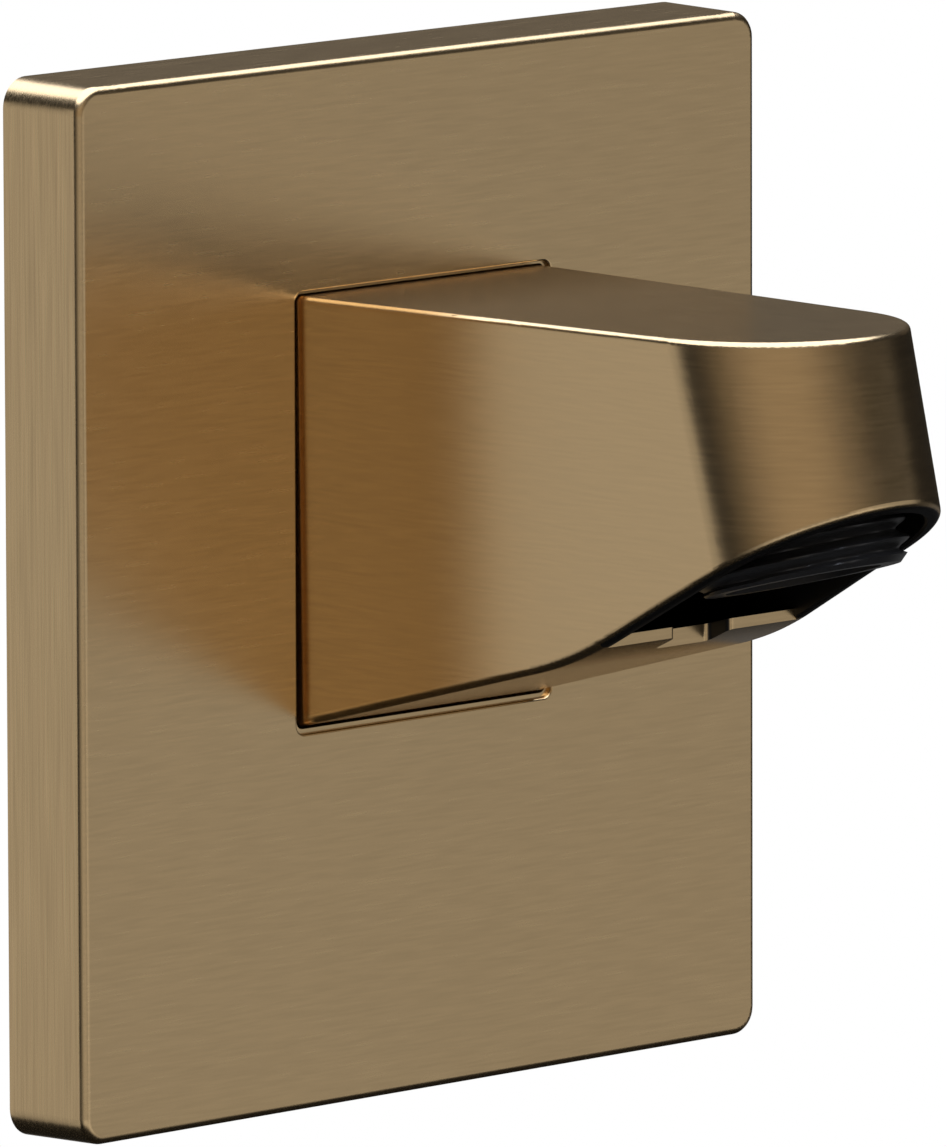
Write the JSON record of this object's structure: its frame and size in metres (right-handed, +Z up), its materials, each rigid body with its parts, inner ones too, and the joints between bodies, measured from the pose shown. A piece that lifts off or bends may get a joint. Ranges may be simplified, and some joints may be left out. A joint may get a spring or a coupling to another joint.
{
  "type": "shower arm",
  "caption": "Wall shower arm: a tapering round-tipped hood that hides a tilted threaded outlet nipple, on a rectangular wall plate, with a threaded inlet shank behind.",
  "frame": {"origin": "where the inlet axis crosses the wall plane, which is the back of the wall plate", "axes": "+Y along the inlet shank into the wall, +Z up, +X to the right when facing the wall; the arm reaches out along -Y"},
  "size_m": [0.0904, 0.1024, 0.1004],
  "materials": {
    "brushed_bronze": "brushed satin, champagne bronze coat",
    "foam_rubber": "closed-cell foam",
    "seal_rubber": "smooth rubber",
    "raw_brass": "turned brass",
    "black_polymer": "moulded black polymer",
    "screw_steel": "plain stainless steel"
  },
  "bodies": {
    "root": {"wall_plate": "brushed_bronze", "arm_hood": "brushed_bronze", "plate_gasket": "foam_rubber", "window_seal": "seal_rubber", "spigot_ring_1": "seal_rubber", "spigot_ring_2": "seal_rubber", "inlet_body": "raw_brass", "waterway": "black_polymer", "flange_screw_1": "screw_steel", "flange_screw_2": "screw_steel", "flange_screw_3": "screw_steel", "flange_screw_4": "screw_steel", "ear_screw_1": "screw_steel", "ear_screw_2": "screw_steel"}
  },
  "joints": []
}
